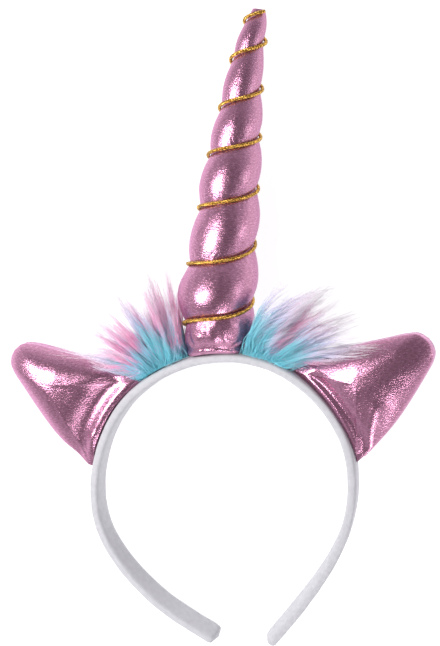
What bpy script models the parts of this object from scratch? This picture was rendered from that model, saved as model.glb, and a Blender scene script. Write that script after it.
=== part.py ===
"""Unicorn horn headband: a cloth-covered hair band that carries a stuffed horn wound with gold cord, two
stuffed ears and two tufts of long fur. It lies on its back. Metres; +Y runs from the band's open end to the
horn's tip, +X to the right of someone who looks at its front, and +Z is up, out of its front."""
import math

import bmesh
import bpy
from mathutils import Vector

GAP = 0.0003                # between pieces that rest on each other

# Hair band: a flat strip bent to an open hoop
BAND_DEPTH = 0.0135         # from its front edge to its back edge
BAND_THICKNESS = 0.0052     # with its cloth cover
BAND_EDGE_RADIUS = 0.0018
BAND_END_ROUND = 0.006      # length over which each end rounds off
BAND_TOP_HEIGHT = 0.0161    # middle of the arch above the surface it lies on
BAND_TILT = math.radians(3.55)   # its open end lies lower than its arch
HOOP_CENTRE = (0.0, -0.068)
HOOP_RADIUS = 0.0705
BAND_STATIONS = (           # from its left end; across, up from the arch, turn of the strip in degrees
    (-0.0115, -0.1479, 18),
    (-0.0348, -0.1318, 17),
    (-0.0491, -0.1184, 14),
    (-0.0607, -0.1033, 10),
    (-0.0685, -0.0864, 6),
    (-0.0702, -0.0680, 3),
    (-0.0666, -0.0501, 1),
    (-0.0592, -0.0338, 0),
    (-0.0481, -0.0196, 0),
    (-0.0339, -0.0092, 0),
    (-0.0175, -0.0022, 0),
    (0.0000, 0.0010, 0),
    (0.0183, -0.0001, 0),
    (0.0356, -0.0060, 0),
    (0.0506, -0.0170, 0),
    (0.0623, -0.0318, 0),
    (0.0693, -0.0494, 1),
    (0.0700, -0.0680, 3),
    (0.0661, -0.0861, 6),
    (0.0581, -0.1025, 10),
    (0.0470, -0.1177, 15),
    (0.0340, -0.1325, 18),
    (0.0160, -0.1509, 19),
)

# Horn: a stuffed cone, pulled in where the cord winds round it
HORN_ACROSS = 0.0052        # middle of its base from the arch's middle
HORN_SECTIONS = (           # along the horn, radius, axis to the right, slant of the winding to the side, to the front
    (0.000, 0.0150, 0.0000, 0.00, 0.00),
    (0.010, 0.0178, 0.0010, 0.12, 0.08),
    (0.027, 0.0196, 0.0034, 0.26, 0.16),
    (0.060, 0.0166, 0.0099, 0.28, 0.14),
    (0.090, 0.0146, 0.0157, 0.27, 0.06),
    (0.120, 0.0113, 0.0221, 0.26, 0.02),
    (0.150, 0.0079, 0.0285, 0.26, 0.00),
    (0.168, 0.0049, 0.0340, 0.26, 0.00),
    (0.175, 0.0018, 0.0364, 0.26, 0.00),
)
HORN_SIDES = 28
HORN_RINGS = 72
HORN_BASE_RINGS = 4
HORN_SEAT_FADE = 0.03       # length over which its base bends to the band
HORN_FRONT_BEND = 14        # how sharply its base bends up in front of the band, per metre
GROOVE_DEPTH = 0.16         # share of the radius that the cord pulls in
GROOVE_SHARPNESS = 5.0

# Gold cord
CORD_RADIUS = 0.0010
CORD_SEAT = 0.0006          # how far the cord stands off the groove's floor
CORD_TURNS = (              # turn, distance along the horn at which it crosses the front
    (0, -0.0080),
    (1, 0.0212),
    (2, 0.0500),
    (3, 0.0785),
    (4, 0.1050),
    (5, 0.1290),
    (6, 0.1535),
    (7, 0.1700),
    (8, 0.1830),
)
CORD_START_TURN = 0.62
CORD_END_TURN = 7.15
CORD_POINTS_PER_TURN = 18

# Ears: stuffed, with a curved base on the band's outer face
EAR_BASE = 0.0300           # half its base, along the band
EAR_BASE_LOW = 0.88         # its lower half, as a share of that
EAR_THICKNESS = 0.0250
EAR_SEAM = 0.0010           # half the thickness of its edge seam
EAR_BASE_THICKNESS = 0.0110
EAR_DROOP = 0.0042          # how far its middle sinks towards the surface
EAR_HEART = 0.36            # middle of its stuffing, as a share of its length
EAR_FLATTER = 0.45          # share by which it gets thinner towards its tip
EAR_OUTLINE = (             # turn round it from its tip, along the base, outwards, share of base
    (0.000, 0.16, 0.990, 0),
    (0.040, 0.33, 0.950, 0),
    (0.080, 0.44, 0.860, 0),
    (0.130, 0.55, 0.720, 0),
    (0.220, 0.77, 0.420, 0),
    (0.330, 1.00, -0.030, 0),
    (0.500, 0.00, 0.000, 1),
    (0.670, -0.88, -0.020, 0),
    (0.790, -0.67, 0.400, 0),
    (0.900, -0.28, 0.840, 0),
    (0.945, -0.13, 0.955, 0),
    (0.970, 0.01, 0.988, 0),
    (1.000, 0.16, 0.990, 0),
)
EAR_BASE_TURN = 0.17        # the stretch of those turns, each side of half, that is the base
EARS = {                    # side, angle round the hoop from the arch, length outwards
    "ear_left": (-1, math.radians(56.3), 0.0668),
    "ear_right": (1, math.radians(60.5), 0.0602),
}

# Fur tufts: a backing strip on the band, with tapered locks that fan out of it
TUFT_BACKING = 0.0022
TUFT_COLUMNS = 5            # locks along the band
TUFT_ROWS = 3               # locks from front to back
TUFTS = {                   # side, angles round the hoop of its ends, lean of the lock by the horn, length
    "fur_tuft_left": (-1, math.radians(10.5), math.radians(29.5), math.radians(3), 0.045),
    "fur_tuft_right": (1, math.radians(18.5), math.radians(33.5), math.radians(18), 0.042),
}
LOCK_LEAN = math.radians(40)                        # of the lock by the ear, from the band's outward direction
LOCK_RISES = (math.radians(-13), math.radians(30))  # out of the band's plane, at the back and at the front
LOCK_SHORTER = (0.0, 0.16, 0.05, 0.22, 0.10)        # share by which each lock in turn is shorter
LOCK_STAGES = (             # share of the lock's length, share of its root's width
    (0.22, 1.15),
    (0.55, 1.20),
    (0.84, 0.80),
    (1.00, 0.08),
)


def material(name, colour, roughness, metallic=0.0):
    """A Principled BSDF in the part's colour."""
    made = bpy.data.materials.new(name)
    made.use_nodes = True
    shader = made.node_tree.nodes["Principled BSDF"]
    shader.inputs["Base Color"].default_value = (*colour, 1.0)
    shader.inputs["Roughness"].default_value = roughness
    shader.inputs["Metallic"].default_value = metallic
    return made


def blend(rows, at):
    """A row of a table at a value of its first column, on a smooth curve through the rows."""
    low = max((i for i, row in enumerate(rows[:-1]) if row[0] <= at), default=0)
    before, a, b, after = (rows[min(max(low + k, 0), len(rows) - 1)] for k in (-1, 0, 1, 2))
    span = b[0] - a[0]
    t = min(max((at - a[0]) / span, 0.0), 1.0)
    found = []
    for column in range(1, len(a)):
        slope_a = (b[column] - before[column]) / (b[0] - before[0]) * span
        slope_b = (after[column] - a[column]) / (after[0] - a[0]) * span
        found.append(
            (2 * t**3 - 3 * t**2 + 1) * a[column]
            + (t**3 - 2 * t**2 + t) * slope_a
            + (3 * t**2 - 2 * t**3) * b[column]
            + (t**3 - t**2) * slope_b
        )
    return found


def hoop_line():
    """Points along the band's middle from its left end to its right end: across, up, turn of the strip."""
    numbered = [(i, *row) for i, row in enumerate(BAND_STATIONS)]
    last = len(BAND_STATIONS) - 1
    line = []
    for k in range(last):
        steps = 10 if k in (0, last - 1) else 3
        line += [blend(numbered, k + step / steps) for step in range(steps)]
    return line + [list(BAND_STATIONS[-1])]


HOOP = hoop_line()


def on_band(angle):
    """Place on the band's middle line and its outward direction, at an angle round the hoop from the arch."""
    centre = Vector(HOOP_CENTRE)
    places = [Vector(point[:2]) - centre for point in HOOP]
    turned = [math.atan2(place.x, place.y) for place in places]
    low = max(i for i in range(len(turned) - 1) if turned[i] <= angle)
    share = (angle - turned[low]) / (turned[low + 1] - turned[low])
    along = (places[low + 1] - places[low]).normalized()
    return centre + places[low].lerp(places[low + 1], share), Vector((-along.y, along.x))


def band_height(down_y):
    """Height of the band's middle plane above the surface."""
    return BAND_TOP_HEIGHT + down_y * math.sin(BAND_TILT)


def lift(place, above=0.0):
    """A place in the band's plane, and a distance in front of it, in the lying pose."""
    return Vector((
        place.x,
        place.y * math.cos(BAND_TILT) - above * math.sin(BAND_TILT),
        band_height(place.y) + above * math.cos(BAND_TILT),
    ))


def put(name, data, collection, root, finish):
    """An object of the model, on the empty that carries the pieces."""
    piece = bpy.data.objects.new(name, data)
    collection.objects.link(piece)
    piece.parent = root
    data.materials.append(finish)
    return piece


def mesh_of(name, bm):
    """A smooth-shaded mesh from a bmesh, with its faces pointing out."""
    bmesh.ops.recalc_face_normals(bm, faces=bm.faces)
    if bm.calc_volume(signed=True) < 0:
        bmesh.ops.reverse_faces(bm, faces=bm.faces)
    mesh = bpy.data.meshes.new(name)
    bm.to_mesh(mesh)
    bm.free()
    mesh.shade_smooth()
    return mesh


def band_profile(guides):
    """The strip's cross-section, a flat rectangle with round corners."""
    curve = bpy.data.curves.new("band_profile", "CURVE")
    curve.dimensions = "2D"
    spline = curve.splines.new("POLY")
    corners = []
    for quarter, (sx, sy) in enumerate(((1, 1), (-1, 1), (-1, -1), (1, -1))):
        middle = (
            sx * (BAND_THICKNESS / 2 - BAND_EDGE_RADIUS),
            sy * (BAND_DEPTH / 2 - BAND_EDGE_RADIUS),
        )
        for step in range(4):
            a = math.radians(90 * quarter + 30 * step)
            corners.append((
                middle[0] + BAND_EDGE_RADIUS * math.cos(a),
                middle[1] + BAND_EDGE_RADIUS * math.sin(a),
            ))
    spline.points.add(len(corners) - 1)
    for point, (x, y) in zip(spline.points, reversed(corners)):
        point.co = (x, y, 0, 1)
    spline.use_cyclic_u = True
    guide = bpy.data.objects.new("band_profile", curve)
    guides.objects.link(guide)
    guide.hide_render = True
    guide.display_type = "WIRE"
    return guide


def headband(collection, guides, root):
    """The hair band: the cross-section swept along the hoop, with each end rounded off."""
    curve = bpy.data.curves.new("headband", "CURVE")
    curve.dimensions = "3D"
    curve.twist_mode = "Z_UP"
    curve.bevel_mode = "OBJECT"
    curve.bevel_object = band_profile(guides)
    curve.use_fill_caps = True
    spline = curve.splines.new("POLY")
    spline.points.add(len(HOOP) - 1)
    for i, (point, (x, y, turn)) in enumerate(zip(spline.points, HOOP)):
        ends = [(HOOP[e][0], HOOP[e][1]) for e in (0, -1)]
        to_end = min(math.dist((x, y), end) for end in ends)
        left = max(0.0, 1 - to_end / BAND_END_ROUND)
        point.co = (x, y, 0, 1)
        point.tilt = -math.radians(turn)
        point.radius = max(0.4, math.sqrt(1 - left**2))
    piece = put("headband", curve, collection, root, material("band_fabric", (0.78, 0.78, 0.83), 0.75))
    piece.location = (0, 0, BAND_TOP_HEIGHT)
    piece.rotation_euler = (BAND_TILT, 0, 0)


def cord_along(turn):
    """Distance along the horn at which the cord has made that many turns, counted at the front."""
    return blend(CORD_TURNS, turn)[0]


def cord_turn(along):
    """How many turns the cord has made at a distance along the horn."""
    low, high = CORD_TURNS[0][0], CORD_TURNS[-1][0]
    for _ in range(20):
        middle = (low + high) / 2
        low, high = (middle, high) if cord_along(middle) < along else (low, middle)
    return (low + high) / 2


def groove_depth(along, angle):
    """How far the horn is pulled in at a place, as a length; the angle is 0 at the front and grows to its right."""
    phase = (cord_turn(along) - angle / math.tau) % 1.0
    near = math.cos(math.pi * phase) ** 2
    radius = blend(HORN_SECTIONS, along)[0]
    start = min(1.0, max(0.0, cord_turn(along) - angle / math.tau - CORD_START_TURN + 0.5) * 2)
    return radius * GROOVE_DEPTH * near**GROOVE_SHARPNESS * start


def horn_place(along, angle, radius):
    """A point round the horn's axis; the horn is seated on the band's outer face and rests on the surface."""
    full_radius, across, slant_side, slant_front = blend(HORN_SECTIONS, along)
    above = full_radius * (1 - GROOVE_DEPTH) + CORD_SEAT + 2 * CORD_RADIUS + GAP
    x = HORN_ACROSS + across + radius * math.sin(angle)
    z = max(0.0, above + radius * math.cos(angle))
    place, out = on_band(math.atan2(x, -HOOP_CENTRE[1]))
    seat = place.y + (x - place.x) * -out.x / out.y - (z - BAND_TOP_HEIGHT) * math.tan(BAND_TILT)
    seat += HORN_FRONT_BEND * max(0.0, z - BAND_TOP_HEIGHT - BAND_DEPTH / 2) ** 2
    fade = max(0.0, 1 - along / HORN_SEAT_FADE) ** 2
    slant = -radius * (slant_side * math.sin(angle) + slant_front * math.cos(angle))
    return Vector((x, BAND_THICKNESS / 2 / out.y + GAP + along + seat * fade + slant, z))


def horn(collection, root):
    """The stuffed cone, its skin drawn in along the cord's spiral and flattened where it lies."""
    length = HORN_SECTIONS[-1][0]
    bm = bmesh.new()
    bmesh.ops.create_cone(bm, cap_ends=True, segments=HORN_SIDES, radius1=1, radius2=1, depth=1)
    rising = [e for e in bm.edges if abs(e.verts[0].co.z - e.verts[1].co.z) > 0.5]
    bmesh.ops.subdivide_edges(bm, edges=rising, cuts=HORN_RINGS - 1, use_grid_fill=True)
    base = min(bm.faces, key=lambda face: face.calc_center_median().z)
    hub = bmesh.ops.poke(bm, faces=[base])["verts"][0]
    bmesh.ops.subdivide_edges(bm, edges=hub.link_edges[:], cuts=HORN_BASE_RINGS - 1, use_grid_fill=True)
    for vert in bm.verts:
        along = (vert.co.z + 0.5) * length
        angle = math.atan2(vert.co.x, vert.co.y)
        radius = blend(HORN_SECTIONS, along)[0] - groove_depth(along, angle)
        vert.co = horn_place(along, angle, radius * min(1.0, math.hypot(vert.co.x, vert.co.y)))
    finish = material("metallic_pink_fabric", (0.62, 0.36, 0.52), 0.3, 0.7)
    put("horn", mesh_of("horn", bm), collection, root, finish)


def horn_cord(collection, root):
    """The gold cord, a tube that winds up the horn in its groove."""
    curve = bpy.data.curves.new("horn_cord", "CURVE")
    curve.dimensions = "3D"
    curve.bevel_depth = CORD_RADIUS
    curve.bevel_resolution = 1
    curve.use_fill_caps = True
    spline = curve.splines.new("POLY")
    count = int((CORD_END_TURN - CORD_START_TURN) * CORD_POINTS_PER_TURN)
    spline.points.add(count)
    for i, point in enumerate(spline.points):
        turn = CORD_START_TURN + (CORD_END_TURN - CORD_START_TURN) * i / count
        along = cord_along(turn)
        floor = blend(HORN_SECTIONS, along)[0] * (1 - GROOVE_DEPTH)
        place = horn_place(along, turn * math.tau, floor + CORD_SEAT + CORD_RADIUS)
        point.co = (*place, 1)
    put("horn_cord", curve, collection, root, material("gold_cord", (0.83, 0.52, 0.12), 0.35, 0.8))


def ear_outline(side, angle, length, turn):
    """A point of the ear's outline in the band's plane, and how much of it belongs to the base: turn runs once
    round it, from the outer tip over the edge next to the fur, the base and the lower edge."""
    share = (0.5 - turn) / EAR_BASE_TURN
    if abs(share) <= 1:
        half_base = EAR_BASE if share > 0 else EAR_BASE * EAR_BASE_LOW
        place, face = on_band(side * (angle - share * half_base / HOOP_RADIUS))
        return place + face * (BAND_THICKNESS / 2 + GAP), math.sqrt(math.cos(share * math.pi / 2))
    middle, out = on_band(side * angle)
    along = Vector((-out.y, out.x)) * side
    across, outwards, _ = blend(EAR_OUTLINE, turn)
    return middle + along * across * EAR_BASE + out * (outwards * length + BAND_THICKNESS / 2 + GAP), 0.0


def ear(name, collection, root, finish):
    """One stuffed ear: a ball flattened to a pillow inside its outline, with a seam round its edge."""
    side, angle, length = EARS[name]
    middle, out = on_band(side * angle)
    heart = middle + out * length * EAR_HEART
    bm = bmesh.new()
    bmesh.ops.create_uvsphere(bm, u_segments=40, v_segments=13, radius=1)
    for vert in bm.verts:
        turn = (math.atan2(vert.co.y, vert.co.x) / math.tau) % 1.0
        edge, base = ear_outline(side, angle, length, turn)
        reach = math.hypot(vert.co.x, vert.co.y)
        place = heart.lerp(edge, reach)
        rim = EAR_SEAM + base * (EAR_BASE_THICKNESS / 2 - EAR_SEAM)
        outwards = (place - middle).dot(out) / length
        plump = EAR_THICKNESS / 2 * (1 - EAR_FLATTER * max(0.0, outwards) ** 1.5)
        half = rim + (plump - rim) * math.sqrt(max(0.0, 1 - reach**2.4))
        front = 1 if vert.co.z > 0 else -1
        sunk = EAR_DROOP * min(1.0, max(0.0, outwards) * 3)
        vert.co = lift(place, half * front - sunk)
        vert.co.z = max(vert.co.z, 0.0)
    put(name, mesh_of(name, bm), collection, root, finish)


def fur_tuft(name, collection, root, finish):
    """One tuft: a backing strip seated on the band, each of its cells drawn out to a tapered lock."""
    side, inner, outer, first_lean, full_length = TUFTS[name]
    bm = bmesh.new()
    bmesh.ops.create_grid(bm, x_segments=TUFT_COLUMNS, y_segments=TUFT_ROWS, size=0.5)
    cells = bmesh.ops.extrude_face_region(bm, geom=bm.faces[:])["geom"]
    cells = [item for item in cells if isinstance(item, bmesh.types.BMFace)]
    raised = {vert for cell in cells for vert in cell.verts}
    shares = {cell: cell.calc_center_median() for cell in cells}
    for vert in bm.verts:
        place, out = on_band(side * (inner + (outer - inner) * (vert.co.x + 0.5)))
        level = BAND_THICKNESS / 2 + GAP + (TUFT_BACKING if vert in raised else 0.0)
        vert.co = lift(place + out * level, vert.co.y * BAND_DEPTH)
    for number, cell in enumerate(sorted(cells, key=lambda c: (shares[c].x, shares[c].y))):
        across, rise_share = shares[cell].x + 0.5, shares[cell].y + 0.5
        _, out = on_band(side * (inner + (outer - inner) * across))
        lean = side * (first_lean + (LOCK_LEAN - first_lean) * across)
        way = Vector((
            out.x * math.cos(lean) + out.y * math.sin(lean),
            out.y * math.cos(lean) - out.x * math.sin(lean),
        ))
        rise = LOCK_RISES[0] + (LOCK_RISES[1] - LOCK_RISES[0]) * rise_share
        way = Vector((way.x * math.cos(rise), way.y * math.cos(rise), math.sin(rise)))
        length = full_length * (1 - LOCK_SHORTER[number % len(LOCK_SHORTER)])
        start = cell.calc_center_median()
        corners = [vert.co - start for vert in cell.verts]
        for reach, width in LOCK_STAGES:
            cell = bmesh.ops.extrude_discrete_faces(bm, faces=[cell])["faces"][0]
            for vert, corner in zip(cell.verts, corners):
                vert.co = start + way * length * reach + corner * width
    put(name, mesh_of(name, bm), collection, root, finish)


def centre(collection, root):
    """Moves the empty that carries the pieces, so that the box round them all is centred on the origin."""
    bpy.context.view_layer.update()
    graph = bpy.context.evaluated_depsgraph_get()
    places = []
    for piece in collection.objects:
        if piece is not root:
            shape = piece.evaluated_get(graph)
            places += [piece.matrix_world @ vert.co for vert in shape.to_mesh().vertices]
            shape.to_mesh_clear()
    for axis in (0, 1):
        values = [place[axis] for place in places]
        root.location[axis] = -(min(values) + max(values)) / 2


def main():
    for old in list(bpy.data.objects):
        bpy.data.objects.remove(old)
    collection = bpy.data.collections.new("unicorn_horn_headband")
    guides = bpy.data.collections.new("guides")
    for made in (collection, guides):
        bpy.context.scene.collection.children.link(made)
    root = bpy.data.objects.new("lying_frame", None)
    collection.objects.link(root)
    headband(collection, guides, root)
    horn(collection, root)
    horn_cord(collection, root)
    pink = material("metallic_pink_ear", (0.62, 0.36, 0.52), 0.3, 0.7)
    for name in EARS:
        ear(name, collection, root, pink)
    fur = material("fur", (0.45, 0.68, 0.76), 0.9)
    for name in TUFTS:
        fur_tuft(name, collection, root, fur)
    centre(collection, root)


main()
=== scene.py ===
"""Looks of the unicorn horn headband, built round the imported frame. It lies face up on a pale floor: +Y runs
to the horn's tip, +X to the right of someone who looks at its front, and +Z is up. Metres."""
import math

import bmesh
import bpy
import numpy as np
from mathutils import Matrix, Vector, noise
from mathutils.bvhtree import BVHTree


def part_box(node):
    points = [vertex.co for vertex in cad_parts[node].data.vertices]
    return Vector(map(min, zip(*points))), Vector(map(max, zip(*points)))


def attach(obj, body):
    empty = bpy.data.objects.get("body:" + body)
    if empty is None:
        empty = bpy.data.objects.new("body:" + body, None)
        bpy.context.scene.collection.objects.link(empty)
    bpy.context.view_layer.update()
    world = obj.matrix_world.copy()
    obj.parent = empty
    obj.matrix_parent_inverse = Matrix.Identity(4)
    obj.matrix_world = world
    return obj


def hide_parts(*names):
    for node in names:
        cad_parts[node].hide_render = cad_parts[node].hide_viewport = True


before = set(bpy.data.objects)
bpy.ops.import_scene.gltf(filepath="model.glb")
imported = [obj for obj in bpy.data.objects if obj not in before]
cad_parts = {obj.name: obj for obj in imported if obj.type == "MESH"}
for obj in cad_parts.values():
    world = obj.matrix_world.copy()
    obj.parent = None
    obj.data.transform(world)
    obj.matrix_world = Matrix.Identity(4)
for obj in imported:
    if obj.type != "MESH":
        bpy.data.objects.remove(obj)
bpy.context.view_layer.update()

# Studio: a pale floor under the headband, a large soft box above it to the left, smaller ones below its open
# end and at its right, and a camera that looks down on it a little from its right, as the photograph does.
# The room is darkest overhead.
FLOOR_SIZE = 6.0
TURN, RISE, ROLL = math.radians(17), math.radians(1.65), math.radians(-5.2)
CAMERA_AIM = Vector((0.0065, 0.0053, 0.0168))
CAMERA_DISTANCE = 0.790
CAMERA_LENS = 85

bm = bmesh.new()
bmesh.ops.create_grid(bm, x_segments=8, y_segments=8, size=FLOOR_SIZE / 2)
floor_mesh = bpy.data.meshes.new("floor")
bm.to_mesh(floor_mesh)
bm.free()
floor = bpy.data.objects.new("floor", floor_mesh)
bpy.context.scene.collection.objects.link(floor)

paper = bpy.data.materials.new("pale_paper")
paper.use_nodes = True
paper_shader = paper.node_tree.nodes["Principled BSDF"]
paper_shader.inputs["Base Color"].default_value = (0.35, 0.35, 0.36, 1)
paper_shader.inputs["Roughness"].default_value = 0.9
paper_shader.inputs["Emission Color"].default_value = (1, 1, 1, 1)
paper_shader.inputs["Emission Strength"].default_value = 0.88
floor_mesh.materials.append(paper)


def soft_box(name, toward, distance, width, height, watts):
    """A rectangular light that faces the headband from a direction; its width runs across the horn."""
    light = bpy.data.lights.new(name, "AREA")
    light.shape = "RECTANGLE"
    light.size, light.size_y = width, height
    light.energy = watts
    made = bpy.data.objects.new(name, light)
    away = Vector(toward).normalized()
    made.location = away * distance
    made.rotation_mode = "QUATERNION"
    made.rotation_quaternion = away.to_track_quat("Z", "Y")
    bpy.context.scene.collection.objects.link(made)


soft_box("key_light", (-0.46, 0.14, 0.88), 1.1, 0.29, 0.42, 14)
soft_box("low_light", (0.30, -0.90, 0.40), 1.2, 0.36, 0.14, 4)
soft_box("side_light", (0.95, -0.10, 0.30), 1.3, 0.20, 0.50, 1.8)

sky = bpy.data.worlds.new("studio")
sky.use_nodes = True
nodes, links = sky.node_tree.nodes, sky.node_tree.links
direction = nodes.new("ShaderNodeTexCoord")
upward = nodes.new("ShaderNodeSeparateXYZ")
links.new(direction.outputs["Generated"], upward.inputs["Vector"])
room = nodes.new("ShaderNodeValToRGB")
room.color_ramp.elements[0].position = 0.30
room.color_ramp.elements[0].color = (0.74, 0.71, 0.77, 1)
room.color_ramp.elements[1].position = 0.80
room.color_ramp.elements[1].color = (0.17, 0.15, 0.17, 1)
links.new(upward.outputs["Z"], room.inputs["Fac"])
links.new(room.outputs["Color"], nodes["Background"].inputs["Color"])
nodes["Background"].inputs["Strength"].default_value = 1.0
bpy.context.scene.world = sky
bpy.context.scene.view_settings.view_transform = "Standard"

lens = bpy.data.cameras.new("photo_camera")
lens.lens = CAMERA_LENS
camera = bpy.data.objects.new("photo_camera", lens)
bpy.context.scene.collection.objects.link(camera)
bpy.context.scene.camera = camera
toward = Vector((math.sin(TURN) * math.cos(RISE), math.sin(RISE), math.cos(TURN) * math.cos(RISE)))
right = Vector((math.cos(TURN), 0, -math.sin(TURN)))
up = toward.cross(right)
axes = Matrix((right, up, toward)).transposed() @ Matrix.Rotation(ROLL, 3, "Z")
camera.matrix_world = Matrix.Translation(CAMERA_AIM + toward * CAMERA_DISTANCE) @ axes.to_4x4()


# Hair band: a thin springy strip bent to an open hoop, wrapped in soft pale velvet whose edge is turned
# under. The strip lies tilted, its open end on the floor, and each arm twists a little towards its end.
BAND_DEPTH = 0.0135
BAND_THICKNESS = 0.0052
BAND_CLEAR = 0.0002         # how far the cover stays off the floor
BAND_CORNER = 3.6           # how square the strip's section is
BAND_END_ROUND = 0.005      # how far from its end the strip starts to round off
BAND_TOP_HEIGHT = 0.0161    # of the strip's middle line at the arch, above the floor
BAND_TILT = math.radians(3.55)
HOOP_CENTRE = (0.0, -0.068)
HOOP_RADIUS = 0.0705
HOOP_STEPS = 8              # places on the middle line from one row of the table to the next
BAND_SIDES = 56
BAND_RINGS = 300
COVER_WAVE = 0.00012        # how far the cover is uneven
COVER_WAVES = 160           # how often, in a metre
BAND_STATIONS = (           # from its left end; across, up from the arch, turn of the strip in degrees
    (-0.0115, -0.1479, 18),
    (-0.0348, -0.1318, 17),
    (-0.0491, -0.1184, 14),
    (-0.0607, -0.1033, 10),
    (-0.0685, -0.0864, 6),
    (-0.0702, -0.0680, 3),
    (-0.0666, -0.0501, 1),
    (-0.0592, -0.0338, 0),
    (-0.0481, -0.0196, 0),
    (-0.0339, -0.0092, 0),
    (-0.0175, -0.0022, 0),
    (0.0000, 0.0010, 0),
    (0.0183, -0.0001, 0),
    (0.0356, -0.0060, 0),
    (0.0506, -0.0170, 0),
    (0.0623, -0.0318, 0),
    (0.0693, -0.0494, 1),
    (0.0700, -0.0680, 3),
    (0.0661, -0.0861, 6),
    (0.0581, -0.1025, 10),
    (0.0470, -0.1177, 15),
    (0.0340, -0.1325, 18),
    (0.0160, -0.1509, 19),
)
GAP = 0.0003                # between the band and what is glued on it
band_low, band_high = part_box("headband")
ARCH = Vector((band_low.x + 0.0732, band_high.y - 0.0040, 0))    # where the zero of the tables lies


def blend(rows, at):
    """A row of a table at a value of its first column, on a smooth curve through the rows."""
    low = max((i for i, row in enumerate(rows[:-1]) if row[0] <= at), default=0)
    before, a, b, after = (rows[min(max(low + k, 0), len(rows) - 1)] for k in (-1, 0, 1, 2))
    span = b[0] - a[0]
    t = min(max((at - a[0]) / span, 0.0), 1.0)
    found = []
    for column in range(1, len(a)):
        slope_a = (b[column] - before[column]) / (b[0] - before[0]) * span
        slope_b = (after[column] - a[column]) / (after[0] - a[0]) * span
        found.append(
            (2 * t**3 - 3 * t**2 + 1) * a[column]
            + (t**3 - 2 * t**2 + t) * slope_a
            + (3 * t**2 - 2 * t**3) * b[column]
            + (t**3 - t**2) * slope_b
        )
    return found


def smooth(low, high, value):
    """0 below low, 1 above high, and an even curve between them."""
    share = min(1.0, max(0.0, (value - low) / (high - low)))
    return share * share * (3 - 2 * share)


def hoop_line(steps):
    """Points along the band's middle from its left end to its right end: across, up, turn of the strip."""
    numbered = [(i, *row) for i, row in enumerate(BAND_STATIONS)]
    last = len(BAND_STATIONS) - 1
    return [blend(numbered, k / steps) for k in range(last * steps)] + [list(BAND_STATIONS[-1])]


HOOP = hoop_line(HOOP_STEPS)
HOOP_REACH = [0.0]
for a, b in zip(HOOP, HOOP[1:]):
    HOOP_REACH.append(HOOP_REACH[-1] + math.dist(a[:2], b[:2]))
HOOP_TURNED = [math.atan2(x - HOOP_CENTRE[0], y - HOOP_CENTRE[1]) for x, y, _ in HOOP]


def on_band(angle):
    """Place on the band's middle line and its outward direction, at an angle round the hoop from the arch."""
    share = float(np.interp(angle, HOOP_TURNED, range(len(HOOP))))
    low = min(int(share), len(HOOP) - 2)
    a, b = Vector(HOOP[low][:2]), Vector(HOOP[low + 1][:2])
    along = (b - a).normalized()
    return a.lerp(b, share - low), Vector((-along.y, along.x))


def lift(place, above):
    """A place in the band's plane, and a distance in front of it, in the lying pose."""
    return ARCH + Vector((
        place.x,
        place.y * math.cos(BAND_TILT) - above * math.sin(BAND_TILT),
        BAND_TOP_HEIGHT + place.y * math.sin(BAND_TILT) + above * math.cos(BAND_TILT),
    ))


def tube(sides, rings):
    """A bmesh of a closed tube, one long and one in radius, with its two round ends fanned."""
    made = bmesh.new()
    bmesh.ops.create_cone(made, cap_ends=True, segments=sides, radius1=1, radius2=1, depth=1)
    rising = [e for e in made.edges if abs(e.verts[0].co.z - e.verts[1].co.z) > 0.5]
    bmesh.ops.subdivide_edges(made, edges=rising, cuts=rings - 1, use_grid_fill=True)
    ends = [face for face in made.faces if len(face.verts) > 4]
    bmesh.ops.poke(made, faces=ends)
    return made


def finished(name, made, finish):
    """The piece made from a bmesh: faces outwards, smooth, on the headband's body."""
    bmesh.ops.recalc_face_normals(made, faces=made.faces)
    if made.calc_volume(signed=True) < 0:
        bmesh.ops.reverse_faces(made, faces=made.faces)
    mesh = bpy.data.meshes.new(name)
    made.to_mesh(mesh)
    made.free()
    mesh.shade_smooth()
    mesh.materials.append(finish)
    piece = bpy.data.objects.new(name, mesh)
    bpy.context.scene.collection.objects.link(piece)
    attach(piece, "root")
    return piece


velvet = bpy.data.materials.new("pale_velvet")
velvet.use_nodes = True
nodes, links = velvet.node_tree.nodes, velvet.node_tree.links
shader = nodes["Principled BSDF"]
shader.inputs["Roughness"].default_value = 0.62
shader.inputs["Sheen Weight"].default_value = 0.6
shader.inputs["Sheen Roughness"].default_value = 0.35
shader.inputs["Sheen Tint"].default_value = (0.95, 0.94, 1.0, 1)
shader.inputs["Specular IOR Level"].default_value = 0.35
place = nodes.new("ShaderNodeTexCoord")
cloudy = nodes.new("ShaderNodeTexNoise")
cloudy.inputs["Scale"].default_value = 420
cloudy.inputs["Detail"].default_value = 5
links.new(place.outputs["Object"], cloudy.inputs["Vector"])
tone = nodes.new("ShaderNodeValToRGB")
tone.color_ramp.elements[0].position = 0.34
tone.color_ramp.elements[0].color = (0.45, 0.45, 0.47, 1)
tone.color_ramp.elements[1].position = 0.66
tone.color_ramp.elements[1].color = (0.50, 0.50, 0.52, 1)
links.new(cloudy.outputs["Fac"], tone.inputs["Fac"])
links.new(tone.outputs["Color"], shader.inputs["Base Color"])
pile = nodes.new("ShaderNodeTexNoise")
pile.inputs["Scale"].default_value = 2600
pile.inputs["Detail"].default_value = 2
links.new(place.outputs["Object"], pile.inputs["Vector"])
raised = nodes.new("ShaderNodeBump")
raised.inputs["Strength"].default_value = 0.35
raised.inputs["Distance"].default_value = 0.0002
links.new(pile.outputs["Fac"], raised.inputs["Height"])
links.new(raised.outputs["Normal"], shader.inputs["Normal"])

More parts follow.
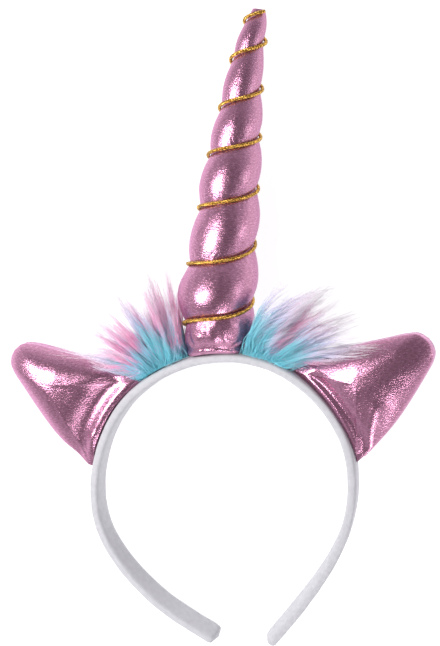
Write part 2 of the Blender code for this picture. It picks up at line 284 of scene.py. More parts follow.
band = tube(BAND_SIDES, BAND_RINGS)
band_length = HOOP_REACH[-1]
for vert in band.verts:
    reach = (vert.co.z + 0.5) * band_length
    share = float(np.interp(reach, HOOP_REACH, range(len(HOOP))))
    low = min(int(share), len(HOOP) - 2)
    a, b = Vector(HOOP[low]), Vector(HOOP[low + 1])
    middle = a.lerp(b, share - low)
    before, after = HOOP[max(low - 1, 0)], HOOP[min(low + 2, len(HOOP) - 1)]
    along = Vector((after[0] - before[0], after[1] - before[1])).normalized()
    out = Vector((-along.y, along.x))
    left_over = max(0.0, 1 - min(reach, band_length - reach) / BAND_END_ROUND)
    round_off = max(0.10, (1 - left_over**3) ** (1 / 3))
    spin = math.atan2(vert.co.y, vert.co.x)
    thick, deep = math.cos(spin), math.sin(spin)
    hub = min(1.0, math.hypot(vert.co.x, vert.co.y))
    thick = math.copysign(abs(thick) ** (2 / BAND_CORNER), thick) * BAND_THICKNESS / 2 * round_off * hub
    deep = math.copysign(abs(deep) ** (2 / BAND_CORNER), deep) * BAND_DEPTH / 2 * round_off * hub
    turn = -math.radians(middle[2])
    level = thick * math.cos(turn) - deep * math.sin(turn)
    above = deep * math.cos(turn) + thick * math.sin(turn)
    spot = Vector(middle[:2]) + out * level
    vert.co = lift(spot, above)
    vert.co += COVER_WAVE * noise.noise(vert.co * COVER_WAVES) * Vector((out.x, out.y, 0.6))
    vert.co.z = max(vert.co.z, BAND_CLEAR)
headband = finished("headband_cover", band, velvet)
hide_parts("headband")


# Horn: a long cone sewn from metallic pink cloth and stuffed hard. The cord pulls it in, so that it swells
# between the turns and puckers beside them. Its open end is turned under in a gathered hem and glued to the
# band.
HORN_ACROSS = 0.0052        # of its base, from the arch to the right
HORN_SECTIONS = (           # along, radius, axis to the right, slant of the winding to the side and front
    (0.000, 0.0142, 0.0000, 0.00, 0.00),
    (0.010, 0.0172, 0.0010, 0.12, 0.08),
    (0.027, 0.0196, 0.0034, 0.26, 0.16),
    (0.060, 0.0166, 0.0099, 0.28, 0.14),
    (0.090, 0.0146, 0.0157, 0.27, 0.06),
    (0.120, 0.0113, 0.0221, 0.26, 0.02),
    (0.150, 0.0079, 0.0285, 0.26, 0.00),
    (0.168, 0.0054, 0.0340, 0.26, 0.00),
    (0.175, 0.0032, 0.0362, 0.26, 0.00),
)
HORN_SIDES = 120
HORN_RINGS = 420
HORN_WIDEST = max(row[1] for row in HORN_SECTIONS)
HORN_SEAT_FADE = 0.03       # how far along it still follows the band's curve
HORN_FRONT_BEND = 14        # how fast its base bends up where it stands in front of the band
GROOVE_DEPTH = 0.16         # share of the radius that the cord pulls in
GROOVE_SHARPNESS = 0.82
LOBE_SWELL = 0.042          # share of the radius that each lobe swells past its section
PUCKER = 0.00012            # height of the small folds beside the cord
PUCKERS_PER_TURN = 23
PUCKERS_FROM_CORD = (0.10, 0.07)    # their middle and their spread, as shares of the way between two turns
DENT = 0.00022              # height of the stuffing's unevenness
DENTS = (70, 260)           # how often it changes in a metre, coarse and fine
HEM = 0.0010                # thickness of the turned hem
HEM_EDGE = (0.0016, 0.0011)     # where it is thickest, along the horn, and its spread
HEM_CREASE = (0.0045, 0.0016)   # where the crease above it is deepest, and its spread
HEM_GATHERS = 13
GATHER = 0.0006             # height of the folds that run up from the hem
GATHER_REACH = 0.012
CORD_RADIUS = 0.0010
CORD_SEAT = 0.0006
CORD_TURNS = (              # turn, distance along the horn at which it crosses the front
    (0, -0.0080),
    (1, 0.0212),
    (2, 0.0500),
    (3, 0.0785),
    (4, 0.1050),
    (5, 0.1290),
    (6, 0.1535),
    (7, 0.1722),
    (8, 0.1830),
)
CORD_START_TURN = 0.62
CORD_END_TURN = 7.15
TURNS = np.linspace(0, 8, 801)
TURNS_ALONG = np.array([blend(CORD_TURNS, turn)[0] for turn in TURNS])


def since_cord(along, angle):
    """How far up a place is from the cord's turn below it, as a share of the way to the turn above, and
    whether the winding has begun there."""
    made = float(np.interp(along, TURNS_ALONG, TURNS)) - angle / math.tau
    started = min(1.0, max(0.0, made - CORD_START_TURN + 0.5) * 2)
    return made % 1.0, started


def horn_place(along, angle, radius):
    """A point round the horn's axis; the horn is seated on the band's outer face and rests on the floor."""
    full_radius, across, slant_side, slant_front = blend(HORN_SECTIONS, along)
    above = full_radius * (1 - GROOVE_DEPTH) + CORD_SEAT + 2 * CORD_RADIUS + GAP
    x = HORN_ACROSS + across + radius * math.sin(angle)
    z = max(0.0, above + radius * math.cos(angle))
    fade = max(0.0, 1 - along / HORN_SEAT_FADE) ** 2
    seat = 0.0
    stand = BAND_THICKNESS / 2 + GAP
    if fade:
        spot, out = on_band(math.atan2(x, -HOOP_CENTRE[1]))
        stand = BAND_THICKNESS / 2 / out.y + GAP
        seat = spot.y + (x - spot.x) * -out.x / out.y - (z - BAND_TOP_HEIGHT) * math.tan(BAND_TILT)
        seat += HORN_FRONT_BEND * max(0.0, z - BAND_TOP_HEIGHT - BAND_DEPTH / 2) ** 2
    slant = -radius * (slant_side * math.sin(angle) + slant_front * math.cos(angle))
    return ARCH + Vector((x, stand + along + seat * fade + slant, z))


CLOTH_SCALE = 100           # the cloth's pattern is laid out in centimetres
CLOTH_AROUND = 1.5          # centimetres of cloth to a radian round the horn

lame = bpy.data.materials.new("metallic_pink_cloth")
lame.use_nodes = True
nodes, links = lame.node_tree.nodes, lame.node_tree.links
shader = nodes["Principled BSDF"]
shader.inputs["Metallic"].default_value = 0.90
shader.inputs["Specular Tint"].default_value = (0.98, 0.60, 0.90, 1)
shader.inputs["Coat Weight"].default_value = 0.5
shader.inputs["Coat Roughness"].default_value = 0.26
cloth_uv = nodes.new("ShaderNodeUVMap")
cloth_uv.uv_map = "cloth"
threads = nodes.new("ShaderNodeMapping")
threads.inputs["Scale"].default_value = (6, 15, 1)
links.new(cloth_uv.outputs["UV"], threads.inputs["Vector"])
crinkle = nodes.new("ShaderNodeTexNoise")
crinkle.inputs["Scale"].default_value = 1
crinkle.inputs["Detail"].default_value = 2.5
crinkle.inputs["Roughness"].default_value = 0.65
links.new(threads.outputs["Vector"], crinkle.inputs["Vector"])
tone = nodes.new("ShaderNodeValToRGB")
tone.color_ramp.elements[0].position = 0.30
tone.color_ramp.elements[0].color = (0.34, 0.14, 0.22, 1)
tone.color_ramp.elements[1].position = 0.70
tone.color_ramp.elements[1].color = (0.60, 0.29, 0.43, 1)
links.new(crinkle.outputs["Fac"], tone.inputs["Fac"])
links.new(tone.outputs["Color"], shader.inputs["Base Color"])
gloss = nodes.new("ShaderNodeMapRange")
gloss.inputs["To Min"].default_value = 0.20
gloss.inputs["To Max"].default_value = 0.32
links.new(crinkle.outputs["Fac"], gloss.inputs["Value"])
links.new(gloss.outputs["Result"], shader.inputs["Roughness"])
weft = nodes.new("ShaderNodeTexWave")
weft.bands_direction = "Y"
weft.inputs["Scale"].default_value = 9
weft.inputs["Distortion"].default_value = 0.6
links.new(cloth_uv.outputs["UV"], weft.inputs["Vector"])
warp = nodes.new("ShaderNodeTexWave")
warp.bands_direction = "X"
warp.inputs["Scale"].default_value = 9
warp.inputs["Distortion"].default_value = 0.6
links.new(cloth_uv.outputs["UV"], warp.inputs["Vector"])
weave = nodes.new("ShaderNodeMath")
weave.operation = "MULTIPLY"
links.new(weft.outputs["Fac"], weave.inputs[0])
links.new(warp.outputs["Fac"], weave.inputs[1])
woven = nodes.new("ShaderNodeBump")
woven.inputs["Strength"].default_value = 0.25
woven.inputs["Distance"].default_value = 0.00008
links.new(weave.outputs["Value"], woven.inputs["Height"])
crushed = nodes.new("ShaderNodeBump")
crushed.inputs["Strength"].default_value = 0.42
crushed.inputs["Distance"].default_value = 0.00040
links.new(crinkle.outputs["Fac"], crushed.inputs["Height"])
links.new(woven.outputs["Normal"], crushed.inputs["Normal"])
links.new(crushed.outputs["Normal"], shader.inputs["Normal"])

horn = tube(HORN_SIDES, HORN_RINGS)
horn_length = HORN_SECTIONS[-1][0]
cloth = horn.loops.layers.uv.new("cloth")
flat_place = {}
for vert in horn.verts:
    flat_place[vert] = (math.atan2(vert.co.x, vert.co.y), (vert.co.z + 0.5) * horn_length)
for face in horn.faces:
    middle_angle = flat_place[face.verts[0]][0]
    for loop in face.loops:
        angle, along = flat_place[loop.vert]
        angle -= math.tau * round((angle - middle_angle) / math.tau)
        loop[cloth].uv = (angle * CLOTH_AROUND, along * CLOTH_SCALE)
for vert in horn.verts:
    angle, along = flat_place[vert]
    hub = min(1.0, math.hypot(vert.co.x, vert.co.y))
    full = blend(HORN_SECTIONS, along)[0]
    phase, started = since_cord(along, angle)
    drawn_in = 1 - math.sin(math.pi * phase) ** GROOVE_SHARPNESS
    radius = full * (1 + (LOBE_SWELL * math.sin(math.pi * phase) - GROOVE_DEPTH * drawn_in) * started)
    from_cord = min(phase, 1 - phase) - PUCKERS_FROM_CORD[0]
    beside = math.exp(-(from_cord / PUCKERS_FROM_CORD[1]) ** 2) * started
    ruck = noise.noise(Vector((math.cos(angle), math.sin(angle), along * 30)) * 3.1)
    radius += PUCKER * beside * math.sin(angle * PUCKERS_PER_TURN + 9 * ruck) * full / HORN_WIDEST
    around = Vector((math.sin(angle) * full, math.cos(angle) * full, along))
    coarse, fine = (noise.noise(around * often) for often in DENTS)
    radius += DENT * coarse * math.sin(math.pi * phase) + DENT * 0.4 * fine
    gathered = math.sin(angle * HEM_GATHERS + 5 * ruck)
    radius += HEM * math.exp(-((along - HEM_EDGE[0]) / HEM_EDGE[1]) ** 2) * (0.75 + 0.35 * gathered)
    radius -= HEM * 0.8 * math.exp(-((along - HEM_CREASE[0]) / HEM_CREASE[1]) ** 2) * (0.7 + 0.4 * gathered)
    radius += GATHER * gathered * math.exp(-(along / GATHER_REACH) ** 2) * smooth(0.002, 0.006, along)
    vert.co = horn_place(along, angle, radius * hub)
horn_skin = finished("horn_skin", horn, lame)
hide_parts("horn")


# Gold cord: three thin cords of metallic yarn laid into one, wound up the horn in its grooves and ended in a
# small wrap round the tip.
PLIES = 3
PLY_RADIUS = 0.00056
PLY_OFFSET = 0.00046        # of each ply's middle from the cord's
PLY_PITCH = 0.0046          # length of one turn of the lay
STEPS_PER_TURN = 200

gold = bpy.data.materials.new("gold_yarn")
gold.use_nodes = True
nodes, links = gold.node_tree.nodes, gold.node_tree.links
shader = nodes["Principled BSDF"]
shader.inputs["Metallic"].default_value = 0.95
place = nodes.new("ShaderNodeTexCoord")
glint = nodes.new("ShaderNodeTexNoise")
glint.inputs["Scale"].default_value = 1500
glint.inputs["Detail"].default_value = 3
links.new(place.outputs["Object"], glint.inputs["Vector"])
tone = nodes.new("ShaderNodeValToRGB")
tone.color_ramp.elements[0].position = 0.42
tone.color_ramp.elements[0].color = (0.16, 0.06, 0.00, 1)
tone.color_ramp.elements[1].position = 0.60
tone.color_ramp.elements[1].color = (0.98, 0.62, 0.14, 1)
links.new(glint.outputs["Fac"], tone.inputs["Fac"])
links.new(tone.outputs["Color"], shader.inputs["Base Color"])
shader.inputs["Roughness"].default_value = 0.30
foil = nodes.new("ShaderNodeBump")
foil.inputs["Strength"].default_value = 0.5
foil.inputs["Distance"].default_value = 0.0001
links.new(glint.outputs["Fac"], foil.inputs["Height"])
links.new(foil.outputs["Normal"], shader.inputs["Normal"])

route = []
for turn in np.arange(CORD_START_TURN, CORD_END_TURN, 1 / STEPS_PER_TURN):
    along = float(np.interp(turn, TURNS, TURNS_ALONG))
    seat_radius = blend(HORN_SECTIONS, along)[0] * (1 - GROOVE_DEPTH) + CORD_SEAT + CORD_RADIUS
    route.append(horn_place(along, turn * math.tau, seat_radius))
cord_curve = bpy.data.curves.new("gold_cord", "CURVE")
cord_curve.dimensions = "3D"
cord_curve.bevel_depth = PLY_RADIUS
cord_curve.bevel_resolution = 1
cord_curve.use_fill_caps = True
travel = np.cumsum([0.0] + [(b - a).length for a, b in zip(route, route[1:])])
for ply in range(PLIES):
    spline = cord_curve.splines.new("POLY")
    spline.points.add(len(route) - 1)
    for i, point in enumerate(spline.points):
        forward = (route[min(i + 1, len(route) - 1)] - route[max(i - 1, 0)]).normalized()
        side = forward.cross(Vector((0, 1, 0))).normalized()
        lay = math.tau * (travel[i] / PLY_PITCH + ply / PLIES)
        offset = side * math.cos(lay) + forward.cross(side) * math.sin(lay)
        point.co = (*(route[i] + offset * PLY_OFFSET), 1)
cord_maker = bpy.data.objects.new("gold_cord_maker", cord_curve)
bpy.context.scene.collection.objects.link(cord_maker)
cord_shape = cord_maker.evaluated_get(bpy.context.evaluated_depsgraph_get())
cord_mesh = bpy.data.meshes.new_from_object(cord_shape)
bpy.data.objects.remove(cord_maker)
cord = bmesh.new()
cord.from_mesh(cord_mesh)
cord_piece = finished("gold_cord", cord, gold)
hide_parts("horn_cord")


# Ears: two pointed pads cut from the same metallic cloth, sewn round the edge, turned and stuffed, with the
# base gathered into a thin roll that is glued along the outside of the band.
EAR_BASE = 0.0300           # half its base, along the band
EAR_BASE_LOW = 0.88         # its lower half, as a share of that
EAR_THICKNESS = 0.0250
EAR_SEAM = 0.0010           # half the thickness of its edge seam
EAR_BASE_THICKNESS = 0.0110
EAR_CLEAR = 0.0001          # how far its back stays off the floor
EAR_DROOP = 0.0042          # how far its back sags behind the band
EAR_BASE_TURN = 0.17        # half the share of the turn round its outline that its base takes
EAR_AROUND = 320
EAR_ACROSS = 121
EAR_DOME = (2.6, 0.75)      # how flat its middle is, and how full it is towards the seam
EAR_CONE_ROUND = 0.16       # how round its fullest place is where it falls straight to the base
EAR_CONE_IN, EAR_CONE_OUT = (0.18, 0.42), (0.92, 0.62)      # turns over which it takes over from the dome
SEAM_PUCKER = 0.00022
SEAM_PUCKERS = 64
SEAM_REACH = 0.10           # of the puckers, as a share of the way in from the seam
EAR_DENT = 0.0004           # height of the stuffing's unevenness
EAR_DENTS = (70, 210)       # how often it changes in a metre, coarse and fine
EAR_EASE = 18               # how often the creases of its front are eased
EAR_EASE_ABOVE = 0.012      # the floor
EAR_OUTLINE = (             # turn round it from its tip, along the base, outwards
    (0.000, 0.16, 0.990),
    (0.040, 0.33, 0.950),
    (0.080, 0.44, 0.860),
    (0.130, 0.55, 0.720),
    (0.220, 0.77, 0.420),
    (0.312, 0.97, 0.040),
    (0.330, 1.00, -0.030),
    (0.500, 0.00, 0.000),
    (0.670, -0.88, -0.030),
    (0.688, -0.87, 0.040),
    (0.790, -0.67, 0.400),
    (0.900, -0.28, 0.840),
    (0.945, -0.13, 0.955),
    (0.970, 0.01, 0.988),
    (1.000, 0.16, 0.990),
)
EARS = {                    # side, angle round the hoop, length outwards, tip shift, fullest place, thinning
    "ear_left": (-1, math.radians(56.3), 0.0648, 0.11, (0.60, 0.10), 0.00),
    "ear_right": (1, math.radians(60.5), 0.0602, 0.00, (0.36, 0.20), 0.35),
}
BASE_ROLLS = {              # rolls and valleys that follow the band: height, distance from it, width
    "ear_left": ((-0.0026, 0.0100, 0.0058), (0.0012, 0.0034, 0.0024)),
    "ear_right": ((0.0011, 0.0024, 0.0016), (-0.0016, 0.0060, 0.0024)),
}
EAR_FOLDS = {               # creases of the front: from and to, outwards and along the band, height, width
    "ear_left": (((0.006, -0.010), (0.001, -0.020), 0.0009, 0.0022),),
    "ear_right": (((0.022, -0.010), (0.005, -0.026), 0.0016, 0.0034),),
}


def ear_outline(name, turn):
    """A point of the ear's outline in the band's plane, and how much of it belongs to the base: turn runs
    once round it, from the outer tip over the edge next to the fur, the base and the lower edge."""
    side, angle, length, tip_shift, _, _ = EARS[name]
    share = (0.5 - turn) / EAR_BASE_TURN
    if abs(share) <= 1:
        half_base = EAR_BASE if share > 0 else EAR_BASE * EAR_BASE_LOW
        spot, face = on_band(side * (angle - share * half_base / HOOP_RADIUS))
        return spot + face * (BAND_THICKNESS / 2 + GAP), math.sqrt(math.cos(share * math.pi / 2))
    middle, out = on_band(side * angle)
    along = Vector((-out.y, out.x)) * side
    across, outwards = blend(EAR_OUTLINE, turn)
    across += tip_shift * smooth(0.2, 1.0, outwards)
    return middle + along * across * EAR_BASE + out * (outwards * length + BAND_THICKNESS / 2 + GAP), 0.0


def ear_pad(name):
    """One ear: a ball flattened to a stuffed pad inside its outline."""
    side, angle, length, _, fullest, thinning = EARS[name]
    middle, out = on_band(side * angle)
    along_band = Vector((-out.y, out.x)) * side
    heart = middle + out * length * fullest[0] + along_band * EAR_BASE * fullest[1]
    made = bmesh.new()
    bmesh.ops.create_uvsphere(made, u_segments=EAR_AROUND, v_segments=EAR_ACROSS, radius=1)
    cloth = made.loops.layers.uv.new("cloth")
    edges = [ear_outline(name, k / EAR_AROUND) for k in range(EAR_AROUND)]
    for vert in made.verts:
        turn = (math.atan2(vert.co.y, vert.co.x) / math.tau) % 1.0
        edge, base = edges[round(turn * EAR_AROUND) % EAR_AROUND]
        reach = math.hypot(vert.co.x, vert.co.y)
        spot = heart.lerp(edge, reach)
        rim = EAR_SEAM + base**1.6 * (EAR_BASE_THICKNESS / 2 - EAR_SEAM)
        from_base = Vector(((spot - middle).dot(out), (spot - middle).dot(along_band)))
        outwards = from_base.x / length
        plump = EAR_THICKNESS / 2 * (1 - thinning * max(0.0, outwards) ** 1.5)
        dome = max(0.0, 1 - reach ** EAR_DOME[0]) ** EAR_DOME[1]
        fallen = math.hypot(reach, EAR_CONE_ROUND) - EAR_CONE_ROUND
        cone = 1 - fallen / (math.hypot(1, EAR_CONE_ROUND) - EAR_CONE_ROUND)
        to_base = smooth(*EAR_CONE_IN, turn) * smooth(*EAR_CONE_OUT, turn)
        half = rim + (plump - rim) * (dome + (cone - dome) * to_base)
        front = 1 if vert.co.z > 0 else -1
        for start, end, height, width in EAR_FOLDS[name]:
            start, end = Vector(start), Vector(end)
            share = min(1.0, max(0.0, (from_base - start).dot(end - start) / (end - start).length_squared))
            half += height * math.exp(-((from_base - start.lerp(end, share)).length / width) ** 2)
        round_hoop = math.atan2(spot.x - HOOP_CENTRE[0], spot.y - HOOP_CENTRE[1])
        band_spot, _ = on_band(round_hoop)
        off_band = (spot - Vector(HOOP_CENTRE)).length - (band_spot - Vector(HOOP_CENTRE)).length
        off_band -= BAND_THICKNESS / 2
        by_base = smooth(0.98, 0.60, abs(side * round_hoop - angle) * HOOP_RADIUS / EAR_BASE)
        for height, distance, width in BASE_ROLLS[name]:
            half += height * by_base * math.exp(-((off_band - distance) / width) ** 2)
        seam = math.exp(-(((1 - reach) / SEAM_REACH) ** 2)) * (1 - base)
        half += SEAM_PUCKER * seam * math.sin(turn * math.tau * SEAM_PUCKERS + 4 * noise.noise(vert.co * 3))
        body = 1 - reach**6
        coarse, fine = (noise.noise(Vector((spot.x, spot.y, front * 0.02)) * often) for often in EAR_DENTS)
        half += body * EAR_DENT * coarse
        half += body * EAR_DENT * 0.35 * fine
        sunk = 0.0 if front > 0 else EAR_DROOP * min(1.0, max(0.0, outwards) * 3)
        vert.co = lift(spot, half * front - sunk)
        vert.co.z = max(vert.co.z, EAR_CLEAR)
    inside = [vert for vert in made.verts if vert.co.z > EAR_EASE_ABOVE]
    for _ in range(EAR_EASE):
        bmesh.ops.smooth_vert(made, verts=inside, factor=0.5, use_axis_z=True)
    for face in made.faces:
        for loop in face.loops:
            loop[cloth].uv = (loop.vert.co.x * CLOTH_SCALE, loop.vert.co.y * CLOTH_SCALE)
    pad = finished(name + "_pad", made, lame)
    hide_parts(name)
    return pad


ear_pads = [ear_pad(name) for name in EARS]


# Fur: a tuft of long soft pile between the horn and each ear, its backing glued on the band. The fibres are
# turquoise at the root, then lilac with streaks of pink, and pale grey at their drawn-out tips.
TUFTS = {                   # side, angles round the hoop of its ends
    "fur_tuft_left": (-1, math.radians(10.5), math.radians(29.5)),
    "fur_tuft_right": (1, math.radians(18.5), math.radians(33.5)),
}
LOCK_TABLE = {              # share from horn to ear, lean in degrees at root and tip, length, share of pink
    "fur_tuft_left": (
        (0.00, -15, -14, 0.044, 1.00),
        (0.30, -7, -4, 0.048, 0.70),
        (0.50, 2, 14, 0.047, 0.25),
        (0.75, 20, 42, 0.043, 0.80),
        (1.00, 36, 54, 0.045, 0.55),
    ),
    "fur_tuft_right": (
        (0.00, 4, 72, 0.060, 0.00),
        (0.25, 14, 58, 0.050, 0.20),
        (0.50, 24, 48, 0.041, 0.85),
        (0.75, 30, 52, 0.043, 0.10),
        (1.00, 42, 58, 0.045, 0.00),
    ),
}
FUR_RISES = (math.radians(-12), math.radians(22))   # from the band's plane, at the back and at the front
LOCKS = 84
STRANDS_PER_LOCK = 52
UNDERCOAT = 1500            # short fibres between the locks
LONG_LOCKS, SHORT_LOCKS = (1.10, 1.40), (0.50, 0.92)    # shares of the table's length
UNDERCOAT_LENGTHS = (0.22, 0.50)
LONG_LOCK_EVERY = 3
LOCK_WIDTH, LOCK_DEPTH = 0.0019, 0.0017     # spread of a lock's roots
LOCK_DRAWN = 0.94           # share of that spread that is gone at the lock's tip
STRAND_LEVELS = 6
STRAND_SIDES = 3
STRAND_RADIUS = 0.00015
STRAND_TAPER = 0.88         # share of its radius that is gone at its tip
BACKING_HEIGHT = 0.0060     # of the dense short pile that hides the backing
STRAND_CLEAR = 0.0005       # how far the fibres stay off the horn and the ears
FUR_CLEAR = 0.0006          # how far they stay off the floor

fur = bpy.data.materials.new("dyed_fur")
fur.use_nodes = True
nodes, links = fur.node_tree.nodes, fur.node_tree.links
shader = nodes["Principled BSDF"]
shader.inputs["Roughness"].default_value = 0.55
shader.inputs["Specular IOR Level"].default_value = 0.3
shader.inputs["Sheen Weight"].default_value = 0.25
fibre = nodes.new("ShaderNodeAttribute")
fibre.attribute_name = "fibre"
parts = nodes.new("ShaderNodeSeparateXYZ")
links.new(fibre.outputs["Vector"], parts.inputs["Vector"])
lilac_fade = nodes.new("ShaderNodeValToRGB")
for position, colour in (
    (0.00, (0.14, 0.62, 0.74, 1)),
    (0.42, (0.32, 0.76, 0.86, 1)),
    (0.58, (0.74, 0.76, 0.94, 1)),
    (0.74, (0.88, 0.82, 0.94, 1)),
    (1.00, (0.88, 0.90, 0.89, 1)),
):
    element = lilac_fade.color_ramp.elements.new(position)
    element.color = colour
pink_fade = nodes.new("ShaderNodeValToRGB")
for position, colour in (
    (0.00, (0.16, 0.64, 0.76, 1)),
    (0.32, (0.42, 0.72, 0.88, 1)),
    (0.46, (1.00, 0.40, 0.66, 1)),
    (0.68, (1.00, 0.66, 0.82, 1)),
    (0.88, (0.96, 0.86, 0.92, 1)),
    (1.00, (0.90, 0.90, 0.90, 1)),
):
    element = pink_fade.color_ramp.elements.new(position)
    element.color = colour
for fade in (lilac_fade, pink_fade):
    fade.color_ramp.elements.remove(fade.color_ramp.elements[0])
    fade.color_ramp.elements.remove(fade.color_ramp.elements[-1])
    links.new(parts.outputs["X"], fade.inputs["Fac"])
dyed = nodes.new("ShaderNodeMix")
dyed.data_type = "RGBA"
links.new(parts.outputs["Z"], dyed.inputs["Factor"])
links.new(lilac_fade.outputs["Color"], dyed.inputs["A"])
links.new(pink_fade.outputs["Color"], dyed.inputs["B"])
varied = nodes.new("ShaderNodeHueSaturation")
brightness = nodes.new("ShaderNodeMapRange")
brightness.inputs["To Min"].default_value = 0.90
brightness.inputs["To Max"].default_value = 1.15
links.new(parts.outputs["Y"], brightness.inputs["Value"])
links.new(brightness.outputs["Result"], varied.inputs["Value"])
links.new(dyed.outputs["Result"], varied.inputs["Color"])
links.new(varied.outputs["Color"], shader.inputs["Base Color"])


def horn_clear(points):
    """Moves points that lie in the horn out to its side, past its skin."""
    along = np.clip(points[:, 1] - ARCH.y - BAND_THICKNESS / 2, 0, horn_length)
    rows = np.array(HORN_SECTIONS)
    full = np.interp(along, rows[:, 0], rows[:, 1]) + 0.0010
    middle_x = ARCH.x + HORN_ACROSS + np.interp(along, rows[:, 0], rows[:, 2])
    middle_z = full * (1 - GROOVE_DEPTH) + CORD_SEAT + 2 * CORD_RADIUS
    x, z = points[:, 0] - middle_x, points[:, 2] - middle_z
    far = np.maximum(np.hypot(x, z), 1e-6)
    push = np.maximum(1.0, (full + STRAND_CLEAR) / far)
    points[:, 0] = middle_x + x * push
    points[:, 2] = middle_z + z * push


def ear_clear(points, pad):
    """Lifts points that lie in an ear, so that the fibres lie on its cloth."""
    tree = pad_trees[pad.name]
    for i, (x, y, z) in enumerate(points):
        hit = tree.ray_cast(Vector((x, y, 0.2)), Vector((0, 0, -1)))[0]
        if hit is not None:
            points[i, 2] = max(z, hit.z + STRAND_CLEAR)


pad_trees = {}
for pad in ear_pads:
    skin = bmesh.new()
    skin.from_mesh(pad.data)
    pad_trees[pad.name] = BVHTree.FromBMesh(skin)
    skin.free()


def heading(out, lean, rise):
    """The direction that leans from the band's outward one, in its plane, and rises out of that plane."""
    return np.array((
        (out.x * math.cos(lean) + out.y * math.sin(lean)) * math.cos(rise),
        (out.y * math.cos(lean) - out.x * math.sin(lean)) * math.cos(rise),
        math.sin(rise),
    ))


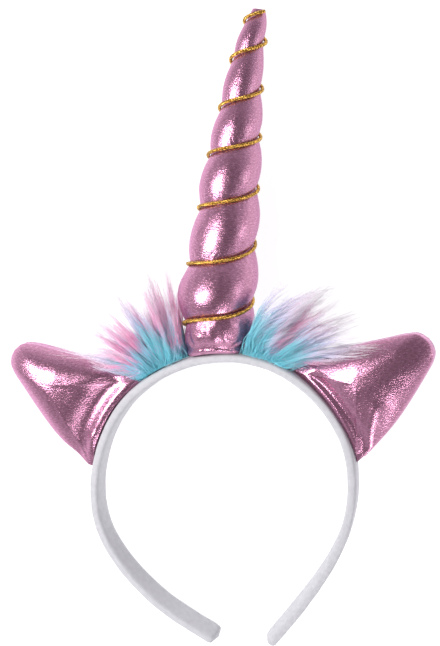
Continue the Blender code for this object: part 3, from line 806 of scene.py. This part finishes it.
def fur_tuft(name, pad, seed):
    """One tuft: locks of tapered fibres that draw together towards each lock's tip, over a short undercoat
    and a padded backing."""
    side, inner, outer = TUFTS[name]
    chance = np.random.default_rng(seed)
    levels = np.linspace(0, 1, STRAND_LEVELS)
    reach = levels[:, None]
    corners = np.arange(STRAND_SIDES) / STRAND_SIDES * math.tau
    points, marks = [], []
    for lock in range(LOCKS + UNDERCOAT):
        under = lock >= LOCKS
        across = chance.uniform(0, 1) if under else (lock + chance.uniform(0.1, 0.9)) / LOCKS
        root_lean, tip_lean, full_length, pinkness = blend(LOCK_TABLE[name], across)
        spot, out = on_band(side * (inner + (outer - inner) * across))
        along_band = np.array((out.y, -out.x, 0))
        depth = chance.uniform(0, 1)
        rise = FUR_RISES[0] + (FUR_RISES[1] - FUR_RISES[0]) * depth + chance.normal(0, 0.06)
        swing = chance.normal(0, 0.16 if under else 0.08)
        first = heading(out, side * (math.radians(root_lean) + swing), rise)
        last = heading(out, side * (math.radians(tip_lean) + swing * 1.6), rise * 0.7 - 0.10)
        length = full_length * chance.uniform(*(SHORT_LOCKS if lock % LONG_LOCK_EVERY else LONG_LOCKS))
        start = np.array((*(spot + out * (BAND_THICKNESS / 2 + GAP)), (depth - 0.5) * BAND_DEPTH * 0.8))
        pink = chance.uniform(0.75, 1.0) if chance.uniform() < pinkness else chance.uniform(0, 0.12)
        bend = 0.0010 * chance.normal(size=3)
        if under:
            length = full_length * chance.uniform(*UNDERCOAT_LENGTHS)
        for _ in range(1 if under else STRANDS_PER_LOCK):
            spread = along_band * chance.normal(0, LOCK_WIDTH)
            spread[2] += chance.normal(0, LOCK_DEPTH)
            own = length * chance.uniform(0.45, 1.0)
            stray = (0.05 if under else 0.024) * chance.normal(size=3)
            line = start + (first + stray) * own * reach + (last - first) * own * reach**2 / 2
            line = line + spread * (1 - LOCK_DRAWN * reach**0.7) + bend * np.sin(reach * 6)
            line = line + 0.0004 * reach * np.sin(reach * 8 + chance.uniform(0, 6)) * chance.normal(size=3)
            points.append(line)
            marks.append((own / full_length, chance.uniform(), pink))
    line = np.array(points)
    flat_line = line.reshape(-1, 3)
    lying = flat_line.copy()
    tilt_cos, tilt_sin = math.cos(BAND_TILT), math.sin(BAND_TILT)
    lying[:, 1] = flat_line[:, 1] * tilt_cos - flat_line[:, 2] * tilt_sin
    lying[:, 2] = BAND_TOP_HEIGHT + flat_line[:, 1] * tilt_sin + flat_line[:, 2] * tilt_cos
    lying += np.array(ARCH)
    horn_clear(lying)
    ear_clear(lying, pad)
    lying[:, 2] = np.maximum(lying[:, 2], FUR_CLEAR)
    line = lying.reshape(line.shape)
    forward = np.gradient(line, axis=1)
    forward /= np.linalg.norm(forward, axis=2, keepdims=True)
    aside = np.cross(forward, (0.0, 0.0, 1.0))
    aside /= np.maximum(np.linalg.norm(aside, axis=2, keepdims=True), 1e-6)
    above = np.cross(forward, aside)
    thick = STRAND_RADIUS * (1 - STRAND_TAPER * levels**1.2)[None, :, None, None]
    ring = aside[:, :, None] * np.cos(corners)[:, None] + above[:, :, None] * np.sin(corners)[:, None]
    verts = (line[:, :, None] + ring * thick).reshape(-1, 3)
    count = len(points)
    step = np.arange(STRAND_SIDES)
    beyond = (step + 1) % STRAND_SIDES
    quad = np.stack([step, beyond, beyond + STRAND_SIDES, step + STRAND_SIDES], 1)
    per_strand = (quad[None] + np.arange(STRAND_LEVELS - 1)[:, None, None] * STRAND_SIDES).reshape(-1, 4)
    strand_first = (np.arange(count) * STRAND_LEVELS * STRAND_SIDES)[:, None, None]
    faces = (per_strand[None] + strand_first).reshape(-1, 4).tolist()
    root_cap = np.arange(STRAND_SIDES)[::-1]
    tip_cap = np.arange(STRAND_SIDES) + (STRAND_LEVELS - 1) * STRAND_SIDES
    for cap in (root_cap, tip_cap):
        faces += (cap[None] + strand_first[:, 0]).tolist()
    backing = bmesh.new()
    bmesh.ops.create_uvsphere(backing, u_segments=40, v_segments=16, radius=1)
    for vert in backing.verts:
        spot, out = on_band(side * (inner + (outer - inner) * (0.5 + 0.5 * vert.co.x)))
        level = BAND_THICKNESS / 2 + GAP + BACKING_HEIGHT * max(0.0, vert.co.z)
        vert.co = lift(spot + out * level, vert.co.y * BAND_DEPTH * 0.45)
    backing_verts = [tuple(vert.co) for vert in backing.verts]
    faces += [[vert.index + len(verts) for vert in face.verts] for face in backing.faces]
    backing.free()
    mesh = bpy.data.meshes.new(name + "_pile")
    mesh.from_pydata(verts.tolist() + backing_verts, [], faces)
    marks = np.array(marks)
    fibre_values = np.zeros((count, STRAND_LEVELS, STRAND_SIDES, 3), np.float32)
    fibre_values[..., 0] = (levels[None, :] * (0.55 + 0.45 * marks[:, :1]))[:, :, None]
    fibre_values[..., 1] = marks[:, 1][:, None, None]
    fibre_values[..., 2] = marks[:, 2][:, None, None]
    backing_values = np.tile([0.15, 0.5, 0.0], (len(backing_verts), 1))
    fibre_values = np.vstack([fibre_values.reshape(-1, 3), backing_values])
    # The fur's colours read the place along the fibre, less for a short one, its brightness and its pink.
    layer = mesh.attributes.new("fibre", "FLOAT_VECTOR", "POINT")
    layer.data.foreach_set("vector", fibre_values.ravel())
    made = bmesh.new()
    made.from_mesh(mesh)
    pile_piece = finished(name + "_pile", made, fur)
    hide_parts(name)


fur_tuft("fur_tuft_left", ear_pads[0], seed=11)
fur_tuft("fur_tuft_right", ear_pads[1], seed=12)
